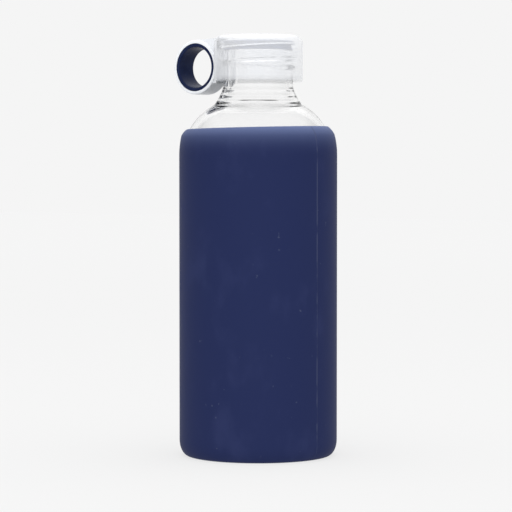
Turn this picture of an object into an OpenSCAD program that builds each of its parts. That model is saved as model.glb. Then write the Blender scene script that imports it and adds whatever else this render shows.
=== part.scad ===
// Half-litre glass water bottle in a silicone sleeve, closed by a screw cap with a carrying loop.
// The origin is on the bottle's axis, on the surface that it stands on. +Z is up, and the loop
// stands out along -X with its hole running along Y. Sizes are in millimetres.

/* [Glass bottle] */
// Outer diameter of the glass body
glass_d = 70; // [62:0.5:84]
// Thickness of the glass in the body and shoulder
glass_wall = 2.4; // [2:0.1:3.4]
// Height of the body from the glass's foot to the start of the shoulder
body_h = 139; // [90:1:180]
// Thickness of the glass under the water, at the edge of the floor
glass_floor = 5; // [4:0.25:7]
// Rise of the hollow under the foot, at its middle
punt_h = 1.6; // [0.8:0.1:2.4]
// Width of the foot's rounded corner
foot_corner_w = 3; // [2:0.1:5]
// Height of the foot's rounded corner
foot_corner_h = 6; // [4:0.1:9]
// Width of the shoulder's curve
shoulder_w = 25.7; // [22:0.1:27]
// Height of the shoulder's curve, if it ran on to level
shoulder_h = 26.4; // [20:0.1:32]

/* [Neck] */
// Outer diameter of the neck, without its thread
neck_d = 32.4; // [30:0.2:35]
// Diameter of the mouth
mouth_d = 26.4; // [22:0.2:28]
// Height of the flare between shoulder and neck
flare_h = 9.8; // [7:0.1:13]
// Shape of the flare: 1 is a straight cone, and more is hollower
flare_power = 1.65; // [1.3:0.05:2.2]
// Height of the straight neck above the flare
neck_h = 15.7; // [14.7:0.1:19]
// Radius of the rim's two rounded edges
rim_round = 1.2; // [0.6:0.1:1.4]

/* [Thread] */
// Rise of the thread in one turn
lead = 4; // [3.6:0.1:4.6]
// Turns of thread on the neck, which the cap has to make to come free
neck_turns = 1.25; // [1:0.05:1.4]
// Turns of thread in the cap
cap_turns = 1.4; // [1.1:0.05:1.5]
// How far each thread stands out from its wall
thread_depth = 1.4; // [1.1:0.05:1.5]
// Width of each thread at its foot
thread_foot = 2.2; // [1.8:0.1:2.4]
// Width of each thread at its crest
thread_crest = 0.9; // [0.6:0.1:1]
// Space between each thread's crest and the other piece's wall
thread_gap = 0.4; // [0.3:0.05:0.6]
// Drop from the rim to the top of the neck's thread
thread_drop = 3.4; // [3:0.1:4]

/* [Sleeve] */
// Thickness of the silicone sleeve
sleeve_wall = 1.95; // [1.2:0.05:3]
// Height of the sleeve's lip above the start of the shoulder
lip_h = 12.9; // [8:0.1:16]
// Radius of the lip's outer edge
lip_round = 1.1; // [0.5:0.1:1.2]
// Width of the rounded corner at the sleeve's foot
sleeve_corner_w = 4.3; // [3:0.1:6]
// Height of the rounded corner at the sleeve's foot
sleeve_corner_h = 7.5; // [5:0.1:10]

/* [Cap] */
// Thickness of the cap's side wall
cap_wall = 2.9; // [2.2:0.1:4]
// Height of the cap
cap_h = 22; // [20.5:0.1:24]
// Thickness of the cap's top
cap_top = 2.8; // [2.2:0.1:4]
// Radius of the cap's top edge
cap_round = 4; // [2:0.1:5]
// Radius of the cap's bottom edge
skirt_round = 0.7; // [0.3:0.1:1]

/* [Seal] */
// Height of the seal ring
seal_h = 4.1; // [3.4:0.1:4.6]
// Width of the seal ring
seal_w = 4; // [3.4:0.1:4.4]
// Thickness of the two ribs that hold the seal ring
rib_wall = 0.9; // [0.6:0.1:1]
// Depth of the groove round the seal ring
seal_groove = 0.7; // [0.4:0.1:0.9]
// Height of the bead that snaps into the groove
bead_h = 0.6; // [0.4:0.1:1]
// Height of the inner rib, which dips into the mouth
plug_h = 5; // [4:0.1:7]

/* [Carrying loop] */
// Diameter of the hole through the loop
hole_d = 19.5; // [14:0.5:22]
// Thickness of the coloured ring that lines the loop
ring_wall = 1.65; // [1:0.05:2.5]
// Thickness of the cap's plastic round that ring
loop_wall = 1.5; // [1.2:0.05:3]
// Width of the loop along its hole
loop_w = 10.3; // [8:0.1:14]
// Drop from the cap's top to the loop's top
loop_drop = 1.3; // [1:0.1:3]
// Gap between the outside of the loop and the cap's side wall, filled by the web
web_gap = 0.2; // [0.2:0.1:4]
// Height of the web that joins the loop to the cap's side wall
web_h = 19; // [10:0.5:19.5]
// How far up the cap's rounded top edge the web reaches, in degrees from the side wall
web_reach = 60; // [30:5:70]
// Radius of the loop's edges
loop_round = 0.7; // [0.3:0.1:0.7]
// Depth of the rib that snaps the ring into the loop
snap_depth = 0.4; // [0.2:0.05:0.6]
// Width of that rib
snap_w = 3; // [2:0.1:4]

/* [Fits] */
// Clearance between the glass and the sleeve
sleeve_fit = 0.1; // [0.05:0.05:0.3]
// Clearance between the seal ring and the ribs beside it
seal_fit = 0.2; // [0.1:0.05:0.3]
// Clearance between the coloured ring and its seat in the loop
ring_fit = 0.05; // [0.03:0.01:0.1]

/* [Hidden] */
$fn = 96;

// How far round its ellipse the shoulder runs before it meets the flare, in degrees
shoulder_end = 64;
// The smallest step that turns an embedded shape into one solid with its wall
bite = 0.5;
// Angle between the thread's sections, and the angle over which its ends fade into the wall
thread_step = 10;
thread_fade = 30;

// Glass bottle, worked out from its foot upwards
glass_r = glass_d / 2;
neck_r = neck_d / 2;
mouth_r = mouth_d / 2;
foot_z = sleeve_wall;
floor_z = foot_z + glass_floor;
shoulder_z = foot_z + body_h;
shoulder_r = glass_r - shoulder_w;
neck_z = shoulder_z + shoulder_h * sin(shoulder_end) + flare_h;
rim_z = neck_z + neck_h;
inner_neck_z = neck_z - glass_wall * sin(shoulder_end);
floor_corner = 5;
floor_rise = 1;
punt_r = 0.68 * glass_r;

// Thread: each one is drawn along its own centre line
neck_thread_z = rim_z - thread_drop - neck_turns * lead;
cap_thread_z = neck_thread_z - lead / 2;

// Cap, worked out from the rim upwards
ceiling_z = rim_z + seal_h;
cap_top_z = ceiling_z + cap_top;
skirt_z = cap_top_z - cap_h;
cap_bore_r = neck_r + thread_depth + thread_gap;
cap_r = cap_bore_r + cap_wall;

// Seal ring and the two ribs beside it
seal_out_r = neck_r + 0.1;
seal_in_r = seal_out_r - seal_w;
outer_rib_r = seal_out_r + seal_fit;
inner_rib_r = seal_in_r - seal_fit;
bead_z = rim_z + seal_h / 2;
bead_r = seal_out_r - seal_groove + seal_fit;

// Carrying loop
hole_r = hole_d / 2;
seat_r = hole_r + ring_wall;
loop_r = seat_r + loop_wall;
loop_x = cap_r + web_gap + loop_r;
loop_z = cap_top_z - loop_drop - loop_r;
ring_round = 0.4;

// Points of part of an ellipse's edge, from angle a0 to a1
function curve(x, z, rx, rz, a0, a1, steps = 8) =
    [for (i = [0 : steps]) let (a = a0 + (a1 - a0) * i / steps) [x + rx * cos(a), z + rz * sin(a)]];

// Points of the flare, from the neck's radius r at height z down and outwards
function flare(r, z, reach) =
    [for (i = [0 : 10]) [r + reach * pow(i / 10, flare_power), z - flare_h * i / 10]];

function backwards(points) = [for (i = [len(points) - 1 : -1 : 0]) points[i]];

// Outside of the glass from its foot's corner to the end of the shoulder, grown by a clearance
function body_outside(grow, end) = concat(
    curve(glass_r - foot_corner_w, foot_z + foot_corner_h,
        foot_corner_w + grow, foot_corner_h, -90, 0),
    curve(shoulder_r, shoulder_z, shoulder_w + grow, shoulder_h + grow, 0, end, 16)
);

// A ridge that winds up the wall at wall_r. side is 1 where it stands outwards and -1 where it
// stands inwards. Its ends fade into the wall.
module thread(wall_r, side, turns, start_z) {
    steps = round(turns * 360 / thread_step);
    flank = (thread_foot - thread_crest) / 2 / thread_depth;
    root_r = wall_r - side * bite;
    root_w = thread_foot / 2 + flank * bite;
    points = [for (i = [0 : steps])
        let (
            a = turns * 360 * i / steps,
            z = start_z + turns * lead * i / steps,
            fade = min(1, a / thread_fade, (turns * 360 - a) / thread_fade),
            reach = -bite / 2 + (thread_depth + bite / 2) * fade,
            tip_r = wall_r + side * reach,
            tip_w = thread_crest / 2 + flank * (thread_depth - reach)
        )
        each [
            [root_r * cos(a), root_r * sin(a), z - root_w],
            [tip_r * cos(a), tip_r * sin(a), z - tip_w],
            [tip_r * cos(a), tip_r * sin(a), z + tip_w],
            [root_r * cos(a), root_r * sin(a), z + root_w]
        ]];
    // These faces point outwards on a ridge that stands outwards, and are turned over otherwise
    sides = [for (i = [0 : steps - 1], j = [0 : 3])
        let (p = 4 * i + j, q = 4 * i + (j + 1) % 4)
        each [[p, q, q + 4], [p, q + 4, p + 4]]];
    last = 4 * steps;
    ends = [[0, 2, 1], [0, 3, 2], [last, last + 1, last + 2], [last, last + 2, last + 3]];
    faces = concat(sides, ends);
    polyhedron(points, side > 0 ? faces : [for (f = faces) [f[2], f[1], f[0]]]);
}

module glass_bottle() {
    neck_reach = shoulder_r + shoulder_w * cos(shoulder_end) - neck_r;
    mouth_reach = shoulder_r + (shoulder_w - glass_wall) * cos(shoulder_end) - mouth_r;
    outline = concat(
        [for (i = [0 : 8]) let (r = punt_r * i / 8) [r, foot_z + punt_h * (1 - pow(i / 8, 2))]],
        body_outside(0, shoulder_end),
        backwards(flare(neck_r, neck_z, neck_reach)),
        curve(neck_r - rim_round, rim_z - rim_round, rim_round, rim_round, 0, 90, 5),
        curve(mouth_r + rim_round, rim_z - rim_round, rim_round, rim_round, 90, 180, 5),
        flare(mouth_r, inner_neck_z, mouth_reach),
        curve(shoulder_r, shoulder_z, shoulder_w - glass_wall, shoulder_h - glass_wall,
            shoulder_end, 0, 16),
        curve(glass_r - glass_wall - floor_corner, floor_z + floor_corner,
            floor_corner, floor_corner, 0, -90),
        [[0, floor_z + floor_rise]]
    );
    color([0.86, 0.93, 0.93, 0.35]) {
        rotate_extrude() polygon(outline);
        translate([0, 0, neck_thread_z]) thread(neck_r, 1, neck_turns, 0);
    }
}

module silicone_sleeve() {
    lip_z = shoulder_z + lip_h;
    inner_end = asin(lip_h / (shoulder_h + sleeve_fit));
    grow = sleeve_fit + sleeve_wall;
    outer_end = asin((lip_h - lip_round) / (shoulder_h + grow));
    outer_lip_r = shoulder_r + (shoulder_w + grow) * cos(outer_end);
    outline = concat(
        [[0, 0]],
        curve(glass_r + grow - sleeve_corner_w, sleeve_corner_h,
            sleeve_corner_w, sleeve_corner_h, -90, 0),
        curve(shoulder_r, shoulder_z, shoulder_w + grow, shoulder_h + grow, 0, outer_end, 12),
        curve(outer_lip_r - lip_round, lip_z - lip_round, lip_round, lip_round, 20, 90, 5),
        backwards(body_outside(sleeve_fit, inner_end)),
        [[0, foot_z]]
    );
    color([0.12, 0.15, 0.31]) rotate_extrude() polygon(outline);
}

module cap_seal() {
    groove_r = seal_out_r - seal_groove;
    groove_h = bead_h / 2 + seal_fit;
    edge = 0.3;
    outline = [
        [seal_in_r, rim_z],
        [seal_out_r - edge, rim_z],
        [seal_out_r, rim_z + edge],
        [seal_out_r, bead_z - groove_h],
        [groove_r, bead_z - groove_h],
        [groove_r, bead_z + groove_h],
        [seal_out_r, bead_z + groove_h],
        [seal_out_r, ceiling_z],
        [seal_in_r, ceiling_z]
    ];
    color([0.13, 0.17, 0.36]) rotate_extrude() polygon(outline);
}

// The cap without its loop: skirt, top and the two ribs that hold the seal ring between them
module cap_shell() {
    outline = concat(
        curve(cap_r - skirt_round, skirt_z + skirt_round, skirt_round, skirt_round, -90, 0, 4),
        curve(cap_r - cap_round, cap_top_z - cap_round, cap_round, cap_round, 0, 90, 10),
        [
            [0, cap_top_z],
            [0, ceiling_z],
            [inner_rib_r - rib_wall, ceiling_z],
            [inner_rib_r - rib_wall, ceiling_z - plug_h],
            [inner_rib_r, ceiling_z - plug_h],
            [inner_rib_r, ceiling_z],
            [outer_rib_r, ceiling_z],
            [outer_rib_r, bead_z + bead_h / 2],
            [bead_r, bead_z + bead_h / 4],
            [bead_r, bead_z - bead_h / 4],
            [outer_rib_r, bead_z - bead_h / 2],
            [outer_rib_r + rib_wall, bead_z - bead_h / 2],
            [outer_rib_r + rib_wall, ceiling_z],
            [cap_bore_r, ceiling_z],
            [cap_bore_r, skirt_z + skirt_round],
            [cap_bore_r + skirt_round, skirt_z]
        ]
    );
    rotate_extrude() polygon(outline);
}

// A round slug across the loop, with rounded edges
module across_loop(r, w, edge) {
    translate([-loop_x, 0, loop_z]) rotate([90, 0, 0]) rotate_extrude() polygon(concat(
        [[0, -w / 2]],
        curve(r - edge, edge - w / 2, edge, edge, -90, 0, 4),
        curve(r - edge, w / 2 - edge, edge, edge, 0, 90, 4),
        [[0, w / 2]]
    ));
}

// Fills the space between loop and cap. Its top edge runs straight from the loop, which it
// leaves as a tangent, to the cap's rounded top edge.
module loop_web() {
    web_w = loop_w - 2 * loop_round;
    end_x = -cap_r + cap_round * (1 - cos(web_reach));
    end_z = cap_top_z - cap_round * (1 - sin(web_reach));
    run = end_x + loop_x;
    climb = end_z - loop_z;
    slope = atan2(climb, run) - asin(loop_r / norm([run, climb]));
    wall_x = -sqrt(pow(cap_r, 2) - pow(web_w / 2, 2)) + bite;
    low_z = loop_z + loop_r - web_h;
    translate([0, web_w / 2, 0]) rotate([90, 0, 0]) linear_extrude(web_w) polygon([
        [-loop_x, loop_z],
        [-loop_x - loop_r * sin(slope), loop_z + loop_r * cos(slope)],
        [end_x, end_z],
        [wall_x, cap_top_z - cap_round],
        [wall_x, low_z],
        [-cap_r, low_z]
    ]);
}

module screw_cap() {
    color([0.93, 0.95, 0.97, 0.6]) {
        difference() {
            union() {
                cap_shell();
                difference() {
                    union() {
                        across_loop(loop_r, loop_w, loop_round);
                        loop_web();
                    }
                    translate([0, 0, skirt_z - cap_h])
                        cylinder(r = cap_bore_r + bite, h = 3 * cap_h);
                }
            }
            translate([-loop_x, 0, loop_z]) rotate([90, 0, 0]) {
                cylinder(r = seat_r, h = 2 * loop_w, center = true);
                cylinder(r = seat_r + snap_depth, h = snap_w + 2 * ring_fit, center = true);
            }
        }
        translate([0, 0, cap_thread_z]) thread(cap_bore_r, -1, cap_turns, 0);
    }
}

module loop_ring() {
    ring_r = seat_r - ring_fit;
    color([0.1, 0.13, 0.28]) difference() {
        union() {
            across_loop(ring_r, loop_w, ring_round);
            translate([-loop_x, 0, loop_z]) rotate([90, 0, 0])
                cylinder(r = ring_r + snap_depth, h = snap_w, center = true);
        }
        translate([-loop_x, 0, loop_z]) rotate([90, 0, 0])
            cylinder(r = hole_r, h = 2 * loop_w, center = true);
    }
}

glass_bottle();
silicone_sleeve();
cap_seal();
screw_cap();
loop_ring();
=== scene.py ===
# %% [markdown]
# # A glass water bottle in a silicone sleeve
#
# The object is a half-litre bottle of clear glass. A matt navy sleeve of silicone is stretched
# over its body, and a milky screw cap with a lined finger loop closes its neck. Nearly every
# piece is a solid of revolution, so one lathe tree makes them all. What makes the bottle look
# real is its four finishes: clear glass, cloudy plastic, dull silicone and satin plastic.
#
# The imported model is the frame. It gives the place of every body and the box of every piece.

# %% Load the frame
import math

import bmesh
import bpy
import numpy as np
from mathutils import Matrix, Vector


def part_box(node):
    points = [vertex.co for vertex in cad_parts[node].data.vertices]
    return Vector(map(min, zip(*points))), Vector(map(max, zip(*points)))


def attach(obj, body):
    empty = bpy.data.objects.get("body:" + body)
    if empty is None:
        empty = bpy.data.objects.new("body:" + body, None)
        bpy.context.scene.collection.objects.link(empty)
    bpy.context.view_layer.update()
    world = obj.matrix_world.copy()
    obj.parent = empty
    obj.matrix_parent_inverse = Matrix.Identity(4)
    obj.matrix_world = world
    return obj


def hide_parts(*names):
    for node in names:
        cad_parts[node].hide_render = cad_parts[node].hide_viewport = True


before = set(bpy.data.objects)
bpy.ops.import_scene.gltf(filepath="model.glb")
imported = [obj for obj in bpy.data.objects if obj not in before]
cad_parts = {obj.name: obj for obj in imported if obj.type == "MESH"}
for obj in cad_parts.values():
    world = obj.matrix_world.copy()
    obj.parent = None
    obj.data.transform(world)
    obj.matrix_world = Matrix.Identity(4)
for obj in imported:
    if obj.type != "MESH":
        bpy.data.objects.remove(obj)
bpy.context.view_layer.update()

MM = 0.001

# %% [markdown]
# ## The camera
#
# The camera comes first, because it decides what has to look right. It stands a little above the
# bottle's middle and looks slightly down, with a long lens, so that upright edges stay upright.
# A camera is easiest to place from the things a photographer knows: distance, height, the way it
# faces and the point that it aims at. The lens shift stays at zero, so other views need no undoing.

# %% Camera
VIEW_TURN = math.radians(37.5)
CAMERA_DISTANCE = 1.097
CAMERA_HEIGHT = 0.1364
AIM_HEIGHT = 0.09368
AIM_LEFT = 0.00103
LENS = 164.2
SENSOR = 36.0

looking = Vector((-math.sin(VIEW_TURN), math.cos(VIEW_TURN), 0))
rightwards = Vector((math.cos(VIEW_TURN), math.sin(VIEW_TURN), 0))
camera = bpy.data.objects.new("camera", bpy.data.cameras.new("camera"))
bpy.context.scene.collection.objects.link(camera)
camera.data.lens = LENS
camera.data.sensor_width = SENSOR
aside = -rightwards * AIM_LEFT
camera.location = aside - looking * CAMERA_DISTANCE + Vector((0, 0, CAMERA_HEIGHT))
aim = aside + Vector((0, 0, AIM_HEIGHT))
camera.rotation_euler = (aim - camera.location).to_track_quat("-Z", "Y").to_euler()
bpy.context.scene.camera = camera
print("camera at", [round(v, 3) for v in camera.location])

# %% [markdown]
# ## Curves for the outlines
#
# A turned piece is drawn as one half of its section, a line in the XZ plane that is spun round Z.
# Such a line could be a bezier curve. Here it is a list of points made from arcs of ellipses,
# because the real moulds are made of arcs too, and the radii then carry their names.


# %% Outline helpers
def arc(x, z, rx, rz, start, end, steps=12):
    """Points on the edge of an ellipse, from one angle to another, in degrees."""
    angles = np.radians(np.linspace(start, end, steps + 1))
    return [(x + rx * math.cos(a), z + rz * math.sin(a)) for a in angles]


def line(start, end, steps):
    """Evenly spaced points between two ends, without the ends themselves."""
    (x0, z0), (x1, z1) = start, end
    return [(x0 + (x1 - x0) * i / steps, z0 + (z1 - z0) * i / steps) for i in range(1, steps)]


def bend(start, near_start, near_end, end, steps=12):
    """Points on a bezier curve, without its first point."""
    curve = []
    for t in np.linspace(0, 1, steps + 1)[1:]:
        weights = ((1 - t) ** 3, 3 * t * (1 - t) ** 2, 3 * t ** 2 * (1 - t), t ** 3)
        points = zip(weights, (start, near_start, near_end, end))
        curve.append(tuple(sum(np.multiply(w, p) for w, p in points)))
    return curve


def refine(points, longest):
    """Adds points, so that no stretch of the outline is longer than the given length."""
    fine = [points[0]]
    for start, end in zip(points, points[1:]):
        steps = max(1, math.ceil(math.dist(start, end) / longest))
        fine += line(start, end, steps) + [end]
    return fine


# %% [markdown]
# ## A lathe made of nodes
#
# The lathe is a Geometry Nodes tree. It takes the outline as a row of points, lays a grid over it
# with one row of corners for each point and one column for each step of the turn, and moves each
# corner to its point, turned by its step. Merging close corners shuts the seam and the poles.
#
# One input crowds the steps together on two opposite sides. The sleeve needs that, because the
# thin line left by its mould is much finer than an even step.


# %% Node helpers
def new_tree(name, inputs):
    """A Geometry Nodes tree with a geometry input and output and the named inputs."""
    tree = bpy.data.node_groups.new(name, "GeometryNodeTree")
    tree.interface.new_socket("Geometry", in_out="INPUT", socket_type="NodeSocketGeometry")
    for label, kind, value in inputs:
        socket = tree.interface.new_socket(label, in_out="INPUT", socket_type="NodeSocket" + kind)
        if value is not None:
            socket.default_value = value
    tree.interface.new_socket("Geometry", in_out="OUTPUT", socket_type="NodeSocketGeometry")
    return tree, tree.nodes.new("NodeGroupInput"), tree.nodes.new("NodeGroupOutput")


def plug(tree, value, socket):
    """Links an output to a socket, or sets the socket if the value is a plain number."""
    if isinstance(value, bpy.types.NodeSocket):
        tree.links.new(value, socket)
    else:
        socket.default_value = value


def math_node(tree, operation, *values):
    """A Math node with its first inputs given, which returns its output."""
    node = tree.nodes.new("ShaderNodeMath")
    node.operation = operation
    for value, socket in zip(values, node.inputs):
        plug(tree, value, socket)
    return node.outputs[0]


def finish_tree(tree, geometry, material, end):
    """Ends a tree with Realize Instances and Set Material."""
    realize = tree.nodes.new("GeometryNodeRealizeInstances")
    paint = tree.nodes.new("GeometryNodeSetMaterial")
    tree.links.new(geometry, realize.inputs["Geometry"])
    tree.links.new(realize.outputs["Geometry"], paint.inputs["Geometry"])
    tree.links.new(material, paint.inputs["Material"])
    tree.links.new(paint.outputs["Geometry"], end.inputs["Geometry"])


def add_tree(piece, tree, values):
    """Gives a piece the tree as a modifier and sets its inputs by their identifiers."""
    modifier = piece.modifiers.new(tree.name, "NODES")
    modifier.node_group = tree
    for item in tree.interface.items_tree:
        if item.item_type == "SOCKET" and item.in_out == "INPUT" and item.name in values:
            modifier[item.identifier] = values[item.name]


def settle(piece):
    """Replaces the piece's mesh by its evaluated one, and removes the modifiers."""
    graph = bpy.context.evaluated_depsgraph_get()
    mesh = bpy.data.meshes.new_from_object(piece.evaluated_get(graph))
    mesh.name = piece.name
    piece.modifiers.clear()
    piece.data = mesh
    return piece


# %% Lathe tree
SAME_PLACE = 0.002


def make_lathe():
    """The tree that turns an outline, given as a row of points in the XZ plane, round Z."""
    tree, start, end = new_tree("lathe", [
        ("Steps", "Int", 192), ("Crowding", "Float", 0.0), ("Crowded angle", "Float", 0.0),
        ("Material", "Material", None)])
    size = tree.nodes.new("GeometryNodeAttributeDomainSize")
    tree.links.new(start.outputs["Geometry"], size.inputs["Geometry"])
    grid = tree.nodes.new("GeometryNodeMeshGrid")
    grid.inputs["Size X"].default_value = 1.0
    grid.inputs["Size Y"].default_value = 1.0
    plug(tree, math_node(tree, "ADD", start.outputs["Steps"], 1.0), grid.inputs["Vertices X"])
    tree.links.new(size.outputs["Point Count"], grid.inputs["Vertices Y"])

    place = tree.nodes.new("ShaderNodeSeparateXYZ")
    tree.links.new(tree.nodes.new("GeometryNodeInputPosition").outputs[0], place.inputs[0])
    row = math_node(tree, "ADD", place.outputs["Y"], 0.5)
    last = math_node(tree, "SUBTRACT", size.outputs["Point Count"], 1.0)
    row = math_node(tree, "ROUND", math_node(tree, "MULTIPLY", row, last))

    sample = tree.nodes.new("GeometryNodeSampleIndex")
    sample.data_type = "FLOAT_VECTOR"
    tree.links.new(start.outputs["Geometry"], sample.inputs["Geometry"])
    tree.links.new(tree.nodes.new("GeometryNodeInputPosition").outputs[0], sample.inputs["Value"])
    tree.links.new(row, sample.inputs["Index"])

    turn = math_node(tree, "ADD", place.outputs["X"], 0.5)
    turn = math_node(tree, "MULTIPLY", turn, math.tau)
    double = math_node(tree, "SINE", math_node(tree, "MULTIPLY", turn, 2.0))
    pull = math_node(tree, "MULTIPLY", double, start.outputs["Crowding"])
    turn = math_node(tree, "SUBTRACT", turn, pull)
    turn = math_node(tree, "ADD", turn, start.outputs["Crowded angle"])

    spin = tree.nodes.new("ShaderNodeVectorRotate")
    spin.rotation_type = "Z_AXIS"
    tree.links.new(sample.outputs["Value"], spin.inputs["Vector"])
    tree.links.new(turn, spin.inputs["Angle"])
    move = tree.nodes.new("GeometryNodeSetPosition")
    tree.links.new(grid.outputs["Mesh"], move.inputs["Geometry"])
    tree.links.new(spin.outputs["Vector"], move.inputs["Position"])
    merge = tree.nodes.new("GeometryNodeMergeByDistance")
    merge.inputs["Distance"].default_value = SAME_PLACE * MM
    tree.links.new(move.outputs["Geometry"], merge.inputs["Geometry"])
    finish_tree(tree, merge.outputs["Geometry"], start.outputs["Material"], end)
    return tree


LATHE = make_lathe()
print(LATHE.name, len(LATHE.nodes), "nodes")


# %% The lathe at work
def turned(name, outline, material, steps=192, crowding=0.0, crowded_angle=0.0):
    """A piece turned from an outline in millimetres, with faces that point outwards."""
    mesh = bpy.data.meshes.new(name)
    points = [(r * MM, 0, z * MM) for r, z in outline]
    mesh.from_pydata(points, [(i, i + 1) for i in range(len(points) - 1)], [])
    piece = bpy.data.objects.new(name, mesh)
    bpy.context.scene.collection.objects.link(piece)
    add_tree(piece, LATHE, {"Steps": steps, "Crowding": crowding, "Crowded angle": crowded_angle,
                            "Material": material})
    settle(piece)
    face_outwards(piece)
    print(name, len(piece.data.polygons), "faces")
    return piece


def face_outwards(piece, sharp=35):
    """Points the normals outwards and shades smoothly, except over edges sharper than an angle."""
    work = bmesh.new()
    work.from_mesh(piece.data)
    bmesh.ops.recalc_face_normals(work, faces=work.faces)
    if work.calc_volume(signed=True) < 0:
        bmesh.ops.reverse_faces(work, faces=work.faces)
    work.to_mesh(piece.data)
    work.free()
    piece.data.shade_smooth()
    piece.data.set_sharp_from_angle(angle=math.radians(sharp))


# %% [markdown]
# ## A screw thread made of nodes
#
# The thread on the neck and the one in the cap are the same form on two walls. The thread could
# be swept along a helix and joined on, but a joined ridge leaves a hard line in the glass. Here
# the wall itself is pushed in or out. For each point of the wall the tree finds the nearest turn
# of the helix, how far above or below it the point lies, and how far along the thread it is. The
# first gives the ridge its rounded section, and the second lets it fade at both ends.


# %% Thread tree
ON_WALL = 0.02


def make_thread():
    """The tree that pushes a screw thread out of a round wall. A negative depth pushes inwards."""
    tree, start, end = new_tree("screw thread", [
        ("Wall radius", "Float", 0.016), ("Depth", "Float", 0.0014), ("Lead", "Float", 0.004),
        ("Turns", "Float", 1.25), ("Start height", "Float", 0.18), ("Foot width", "Float", 0.0022),
        ("Crest width", "Float", 0.0009), ("Fade", "Float", 0.16), ("Material", "Material", None)])
    get = start.outputs
    position = tree.nodes.new("GeometryNodeInputPosition").outputs[0]
    split = tree.nodes.new("ShaderNodeSeparateXYZ")
    tree.links.new(position, split.inputs[0])
    x, y, z = split.outputs
    squares = math_node(tree, "ADD", math_node(tree, "MULTIPLY", x, x),
                        math_node(tree, "MULTIPLY", y, y))
    radius = math_node(tree, "SQRT", squares)
    angle = math_node(tree, "DIVIDE", math_node(tree, "ARCTAN2", y, x), math.tau)
    angle = math_node(tree, "FRACT", math_node(tree, "ADD", angle, 1.0))
    height = math_node(tree, "SUBTRACT", z, get["Start height"])
    climbed = math_node(tree, "DIVIDE", height, get["Lead"])
    whole = math_node(tree, "ROUND", math_node(tree, "SUBTRACT", climbed, angle))
    along = math_node(tree, "ADD", angle, whole)
    above = math_node(tree, "ABSOLUTE", math_node(
        tree, "MULTIPLY", math_node(tree, "SUBTRACT", climbed, along), get["Lead"]))

    ridge = tree.nodes.new("ShaderNodeMapRange")
    ridge.interpolation_type = "SMOOTHSTEP"
    plug(tree, above, ridge.inputs["Value"])
    plug(tree, math_node(tree, "MULTIPLY", get["Foot width"], 0.5), ridge.inputs["From Max"])
    plug(tree, math_node(tree, "MULTIPLY", get["Crest width"], 0.5), ridge.inputs["From Min"])
    ridge.inputs["To Min"].default_value = 1.0
    ridge.inputs["To Max"].default_value = 0.0

    left = math_node(tree, "SUBTRACT", get["Turns"], along)
    fade = tree.nodes.new("ShaderNodeMapRange")
    fade.interpolation_type = "SMOOTHSTEP"
    plug(tree, math_node(tree, "MINIMUM", along, left), fade.inputs["Value"])
    plug(tree, get["Fade"], fade.inputs["From Max"])
    push = math_node(tree, "MULTIPLY", ridge.outputs["Result"], fade.outputs["Result"])
    push = math_node(tree, "MULTIPLY", push, get["Depth"])
    push = math_node(tree, "DIVIDE", push, radius)

    shift = tree.nodes.new("ShaderNodeCombineXYZ")
    plug(tree, math_node(tree, "MULTIPLY", x, push), shift.inputs["X"])
    plug(tree, math_node(tree, "MULTIPLY", y, push), shift.inputs["Y"])
    off_wall = math_node(tree, "ABSOLUTE", math_node(tree, "SUBTRACT", radius, get["Wall radius"]))
    on_wall = math_node(tree, "LESS_THAN", off_wall, ON_WALL * MM)
    move = tree.nodes.new("GeometryNodeSetPosition")
    tree.links.new(get["Geometry"], move.inputs["Geometry"])
    tree.links.new(on_wall, move.inputs["Selection"])
    tree.links.new(shift.outputs["Vector"], move.inputs["Offset"])
    finish_tree(tree, move.outputs["Geometry"], get["Material"], end)
    return tree


def threaded(piece, material, **values):
    """Presses a screw thread into one wall of a turned piece."""
    add_tree(piece, THREAD, {**values, "Material": material})
    return settle(piece)


THREAD = make_thread()
print(THREAD.name, len(THREAD.nodes), "nodes")

# %% [markdown]
# ## Small helpers for finishes
#
# Each finish is one Principled shader. What differs over the surface, such as dust, streaks or
# a fine grain, comes from noise in Object coordinates, which stay put on the piece. Wherever a
# value is the same all over, it is set on the shader's own socket.


# %% Finish helpers
def new_finish(name):
    """A material with a Principled shader, and the Object coordinates to paint it with."""
    material = bpy.data.materials.new(name)
    material.use_nodes = True
    tree = material.node_tree
    shader = tree.nodes["Principled BSDF"]
    place = tree.nodes.new("ShaderNodeTexCoord").outputs["Object"]
    return material, tree, shader, place


def noise(tree, place, scale, detail=2.0, roughness=0.5, stretch=(1, 1, 1)):
    """Noise of about one value for each 1/scale metres, stretched along the axes if asked."""
    mapping = tree.nodes.new("ShaderNodeMapping")
    mapping.inputs["Scale"].default_value = stretch
    tree.links.new(place, mapping.inputs["Vector"])
    node = tree.nodes.new("ShaderNodeTexNoise")
    node.inputs["Scale"].default_value = scale
    node.inputs["Detail"].default_value = detail
    node.inputs["Roughness"].default_value = roughness
    tree.links.new(mapping.outputs[0], node.inputs["Vector"])
    return node.outputs["Fac"]


def remap(tree, value, low, high, to_low=0.0, to_high=1.0, smooth=True):
    """Stretches the values between low and high to run from to_low to to_high."""
    node = tree.nodes.new("ShaderNodeMapRange")
    node.interpolation_type = "SMOOTHSTEP" if smooth else "LINEAR"
    tree.links.new(value, node.inputs["Value"])
    for label, number in (("From Min", low), ("From Max", high),
                          ("To Min", to_low), ("To Max", to_high)):
        node.inputs[label].default_value = number
    return node.outputs["Result"]


def mix_colours(tree, amount, first, second):
    """A colour between two colours. Each may be a plain colour or an output."""
    node = tree.nodes.new("ShaderNodeMix")
    node.data_type = "RGBA"
    plug(tree, amount, node.inputs["Factor"])
    for value, identifier in ((first, "A_Color"), (second, "B_Color")):
        plug(tree, value, next(s for s in node.inputs if s.identifier == identifier))
    return next(s for s in node.outputs if s.type == "RGBA")


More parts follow.
